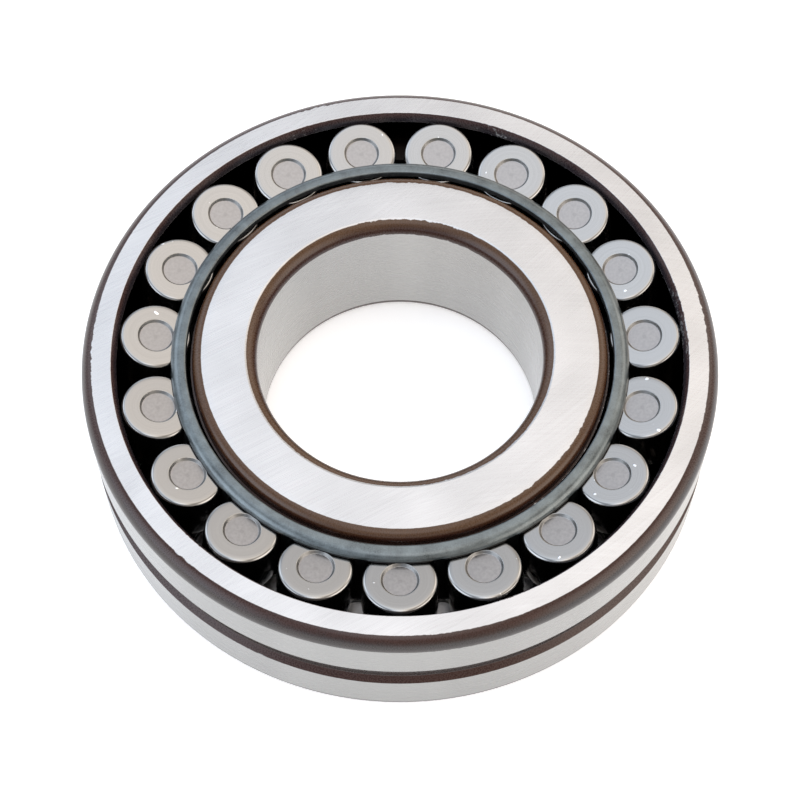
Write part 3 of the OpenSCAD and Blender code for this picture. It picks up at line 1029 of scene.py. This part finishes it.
def roller_profile(d):
    """Lower half of a roller's profile, from the middle of its recess out and up to the barrel's middle."""
    size = d.roller
    centre_r = d.roller_r - d.barrel_r
    reach = d.barrel_r - size.edge
    edge_z = size.edge - d.half_l
    edge_r = centre_r + math.sqrt(reach ** 2 - edge_z ** 2)
    edge_end = math.degrees(math.asin(edge_z / reach))
    floor_z = size.recess_depth - d.half_l
    floor_r = size.recess_r - size.recess_taper
    return np.vstack([
        stretch(line((0, floor_z), (floor_r, floor_z), 4), FLOOR),
        stretch((floor_r, floor_z), FLANK, rounding=FLOOR_FILLET),
        stretch((size.recess_r, -d.half_l), POLISHED, rounding=RECESS_EDGE),
        stretch(line((size.recess_r + 0.6 * (edge_r - size.recess_r), -d.half_l), (edge_r, -d.half_l), 2),
                POLISHED),
        stretch(arc((edge_r, edge_z), size.edge, -90, edge_end, 10)[:-1], POLISHED),
        stretch(arc((centre_r, 0), d.barrel_r, edge_end, 0, 10), POLISHED),
    ])


ROLLER_SEGMENTS = 96


def rollers(d, side, finishes):
    """One row of rollers: each is the same profile turned about its own joint's axis."""
    row = "upper" if side == UPPER else "lower"
    rows = both_halves(roller_profile(d), closed=False)
    shape = turned(rows, ROLLER_SEGMENTS, closed=False)
    own = shape.points.reshape(-1, 3)
    materials = [roller_steel("Polished roller steel, " + row, finishes),
                 recess_steel("Dull recess floor, " + row, finishes.turned_steel, 0.32),
                 # The recess flank takes the outside's darker copy of the ground steel: painted shade.
                 recess_steel("Turned recess flank, " + row, finishes.ground_outside_shaded, 0.3)]
    for index in range(1, d.count + 1):
        name = f"roller_{row}_{index:02d}"
        joint = joint_child(name)
        axis = np.array(joint["axis"], float)
        axis /= np.linalg.norm(axis)
        azimuth = roller_azimuth(d, side, index)
        outward = np.array([math.cos(azimuth), math.sin(azimuth), 0.0])
        first = outward - axis * (outward @ axis)
        first /= np.linalg.norm(first)
        basis = np.stack([first, np.cross(axis, first), axis])
        points = np.array(joint["pos_m"]) + own @ basis
        serial = index + (0.5 if side == LOWER else 0.0)
        values = {"own": own / MM, "serial": np.full(len(own), serial)}
        piece = build(name + "_steel", points, shape.faces, shape.finish, materials, values)
        stand_for(piece, name)


# ---------------------------------------------------------------------------------------------
# Stage

# Lamps of the light tent: direction, half-angles of full light and of none in degrees, and strength
SOFTBOXES = (
    ((0.0, 0.24, 0.97), 10.0, 38.0, 1.1),
    ((-0.86, -0.38, 0.34), 14.0, 34.0, 1.8),
    ((0.86, -0.38, 0.34), 14.0, 34.0, 1.8),
    ((-0.68, 0.48, 0.55), 8.0, 22.0, 1.6),
    ((0.68, 0.48, 0.55), 8.0, 22.0, 1.6),
    ((0.0, 0.99, 0.1), 15.0, 38.0, 0.7),
    ((0.0, -0.42, 0.91), 8.0, 20.0, 1.6),
)
TENT_STRENGTH = 0.55
HORIZON_STRENGTH = 1.05      # the tent is brightest low down, where the table meets it
HORIZON = (0.12, 0.32)       # heights, as sines, between which the one passes into the other
TINT_LEFT, TINT_RIGHT = "E8F1FF", "FFF4EA"
TINT_WIDTH = 0.3             # sine of the angle to either side over which they pass into each other


def light_tent():
    """A white tent all round, cooler on the left and warmer on the right, with softboxes behind it.

    Each softbox adds its light where the angle to its direction is small, with a smooth edge.
    """
    world = bpy.data.worlds.new("Light tent")
    bpy.context.scene.world = world
    world.use_nodes = True
    tree = world.node_tree
    direction = add(tree, "ShaderNodeTexCoord").outputs["Generated"]
    parts = split(tree, direction)
    light = mapped(tree, calc(tree, "ABSOLUTE", parts[2]), HORIZON, (HORIZON_STRENGTH, TENT_STRENGTH),
                   smooth=True)
    for aim, full, none, strength in SOFTBOXES:
        near = add(tree, "ShaderNodeVectorMath", {0: direction, 1: Vector(aim).normalized()},
                   operation="DOT_PRODUCT").outputs["Value"]
        edges = [math.cos(math.radians(angle)) for angle in (none, full)]
        light = calc(tree, "ADD", light, mapped(tree, near, edges, (0.0, strength), smooth=True))
    across = mapped(tree, parts[0], (-TINT_WIDTH, TINT_WIDTH), smooth=True)
    tint = blended(tree, across, linear(TINT_LEFT), linear(TINT_RIGHT))
    tree.links.new(scaled(tree, tint, light), tree.nodes["Background"].inputs["Color"])


FLOOR_HALF = 1.5                            # half the side of the floor
VIEW_ELEVATION = math.radians(61.233)
VIEW_DISTANCE = 0.33378
VIEW_LIFT = math.radians(0.384)             # the bearing stands a little above the middle of the frame
VIEW_LENS, VIEW_SENSOR = 92.835, 36.0       # millimetres, as Blender's cameras take them


def stage(finishes):
    """Floor, lights and camera."""
    mesh = bpy.data.meshes.new("floor")
    low = CAD_BOX[0][2]
    corners = [(x * FLOOR_HALF, y * FLOOR_HALF, low) for x, y in ((-1, -1), (1, -1), (1, 1), (-1, 1))]
    mesh.from_pydata(corners, [], [(0, 1, 2, 3)])
    mesh.materials.append(glowing_stage_acrylic("White acrylic table", finishes))
    floor = bpy.data.objects.new("floor", mesh)
    bpy.context.scene.collection.objects.link(floor)
    light_tent()
    camera = bpy.data.cameras.new("camera")
    camera.lens = VIEW_LENS
    camera.sensor_width = VIEW_SENSOR
    camera.clip_start = 0.01
    holder = bpy.data.objects.new("camera", camera)
    holder.location = (0, -VIEW_DISTANCE * math.cos(VIEW_ELEVATION), VIEW_DISTANCE * math.sin(VIEW_ELEVATION))
    holder.rotation_euler = (math.pi / 2 - VIEW_ELEVATION - VIEW_LIFT, 0, 0)
    bpy.context.scene.collection.objects.link(holder)
    bpy.context.scene.camera = holder
    bpy.context.scene.view_settings.view_transform = "Standard"


# ---------------------------------------------------------------------------------------------
# Add-on

class BEARING_OT_outer_ring(bpy.types.Operator):
    """Build the outer ring with its oil groove and oil holes"""
    bl_idname = "bearing.outer_ring"
    bl_label = "Outer ring"

    def execute(self, context):
        outer_ring(sizes(), context.scene.bearing_finishes)
        return {"FINISHED"}


class BEARING_OT_inner_ring(bpy.types.Operator):
    """Build the inner ring with its two raceways"""
    bl_idname = "bearing.inner_ring"
    bl_label = "Inner ring"

    def execute(self, context):
        inner_ring(sizes(), context.scene.bearing_finishes)
        return {"FINISHED"}


class BEARING_OT_guide_ring(bpy.types.Operator):
    """Build the guide ring between the two rows"""
    bl_idname = "bearing.guide_ring"
    bl_label = "Guide ring"

    def execute(self, context):
        guide_ring(sizes(), context.scene.bearing_finishes)
        return {"FINISHED"}


class BEARING_OT_cages(bpy.types.Operator):
    """Build the two pressed window cages"""
    bl_idname = "bearing.cages"
    bl_label = "Cages"

    def execute(self, context):
        for side in (UPPER, LOWER):
            cage(sizes(), side, context.scene.bearing_finishes)
        return {"FINISHED"}


class BEARING_OT_rollers(bpy.types.Operator):
    """Build both rows of rollers"""
    bl_idname = "bearing.rollers"
    bl_label = "Rollers"

    def execute(self, context):
        for side in (UPPER, LOWER):
            rollers(sizes(), side, context.scene.bearing_finishes)
        return {"FINISHED"}


class BEARING_OT_stage(bpy.types.Operator):
    """Set up the floor, the lights and the camera"""
    bl_idname = "bearing.stage"
    bl_label = "Stage"

    def execute(self, context):
        stage(context.scene.bearing_finishes)
        return {"FINISHED"}


class BEARING_PT_panel(bpy.types.Panel):
    """Sizes, finishes and builders of the bearing"""
    bl_label = "Spherical roller bearing"
    bl_idname = "BEARING_PT_panel"
    bl_space_type = "VIEW_3D"
    bl_region_type = "UI"
    bl_category = "Bearing"

    def draw(self, context):
        for group in (context.scene.bearing_rings, context.scene.bearing_rollers,
                      context.scene.bearing_cages, context.scene.bearing_finishes):
            box = self.layout.box()
            for key in group.__annotations__:
                box.prop(group, key)
        for operator in OPERATORS:
            self.layout.operator(operator.bl_idname)


OPERATORS = (BEARING_OT_outer_ring, BEARING_OT_inner_ring, BEARING_OT_guide_ring, BEARING_OT_cages,
             BEARING_OT_rollers, BEARING_OT_stage)
GROUPS = {"bearing_rings": RingSizes, "bearing_rollers": RollerSizes, "bearing_cages": CageSizes,
          "bearing_finishes": Finishes}


def register():
    for group in GROUPS.values():
        bpy.utils.register_class(group)
    for key, group in GROUPS.items():
        setattr(bpy.types.Scene, key, PointerProperty(type=group))
    for cls in (*OPERATORS, BEARING_PT_panel):
        bpy.utils.register_class(cls)


def unregister():
    for cls in (BEARING_PT_panel, *reversed(OPERATORS)):
        bpy.utils.unregister_class(cls)
    for key in GROUPS:
        delattr(bpy.types.Scene, key)
    for group in reversed(GROUPS.values()):
        bpy.utils.unregister_class(group)


def main():
    register()
    bpy.ops.bearing.outer_ring()
    bpy.ops.bearing.inner_ring()
    bpy.ops.bearing.guide_ring()
    bpy.ops.bearing.cages()
    bpy.ops.bearing.rollers()
    bpy.ops.bearing.stage()


if __name__ == "__main__":
    main()
